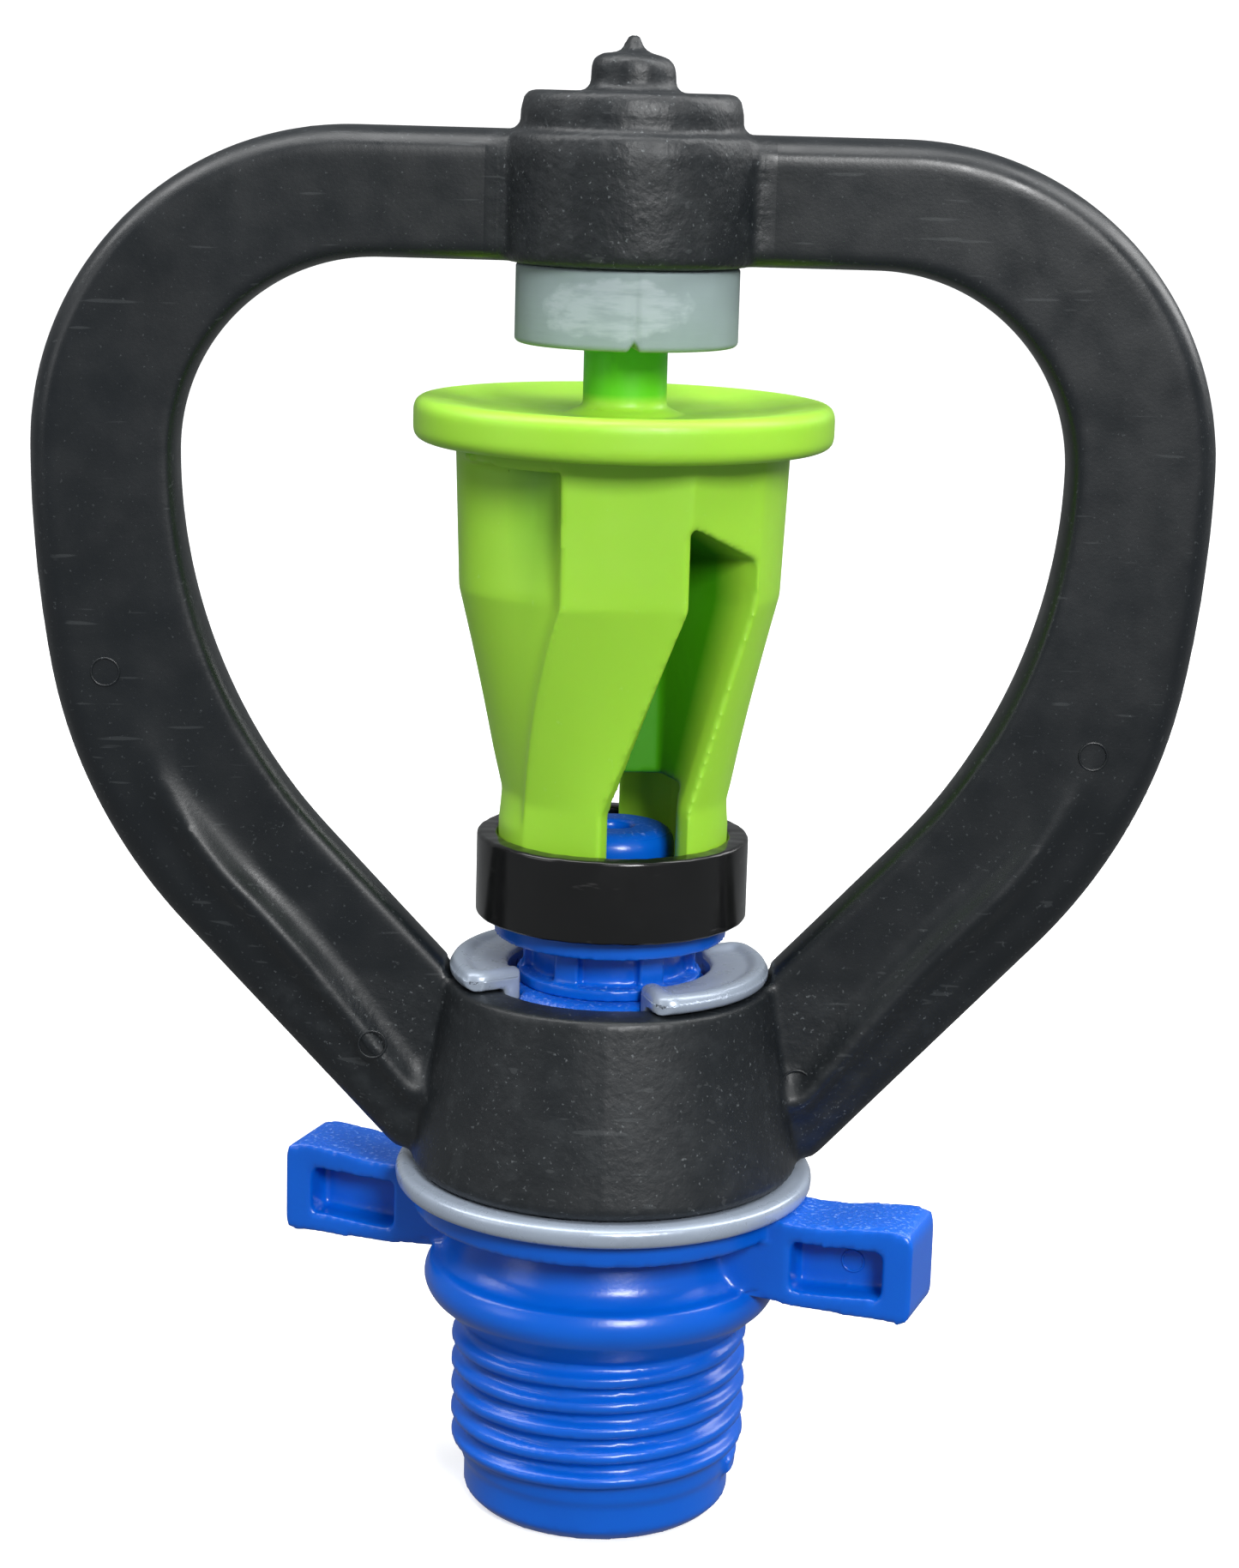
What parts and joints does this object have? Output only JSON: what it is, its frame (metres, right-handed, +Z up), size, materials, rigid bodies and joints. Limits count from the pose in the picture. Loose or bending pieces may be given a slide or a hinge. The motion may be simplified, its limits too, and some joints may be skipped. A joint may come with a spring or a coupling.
{
  "type": "rotary garden sprinkler",
  "caption": "Small rotary garden sprinkler: male-threaded base with hand wings, swivelling heart-shaped bridge and a water-driven spinner over the nozzle.",
  "frame": {"origin": "centre of the inlet end face of the male thread", "axes": "+Z up the water axis from the inlet to the cap, +X along the bridge's width, +Y through the bridge windows away from the front"},
  "size_m": [0.0784, 0.0288, 0.1005],
  "materials": {
    "blue_plastic": "moulded, slightly grainy",
    "seal_rubber": "smooth rubber",
    "silver_grey_plastic": "pearly gloss",
    "black_plastic": "satin, lightly dusty",
    "matte_grey_plastic": "matte, lightly scraped",
    "green_plastic": "translucent satin gloss",
    "gloss_black_plastic": "glossy"
  },
  "bodies": {
    "base_assembly": {"threaded_base": "blue_plastic", "nozzle": "blue_plastic", "nozzle_seal": "seal_rubber", "swivel_bush": "silver_grey_plastic"},
    "bridge_assembly": {"bridge": "black_plastic", "bearing_bush": "matte_grey_plastic"},
    "spinner_assembly": {"spinner": "green_plastic", "skirt_ring": "gloss_black_plastic"}
  },
  "joints": [
    {"name": "bridge_swivel", "type": "hinge", "parent": "base_assembly", "child": "bridge_assembly", "pos_m": [0, 0, 0.031], "axis": [0, 0, 1], "continuous": true},
    {"name": "spinner_spin", "type": "hinge", "parent": "bridge_assembly", "child": "spinner_assembly", "pos_m": [0, 0, 0.084], "axis": [0, 0, 1], "continuous": true}
  ]
}
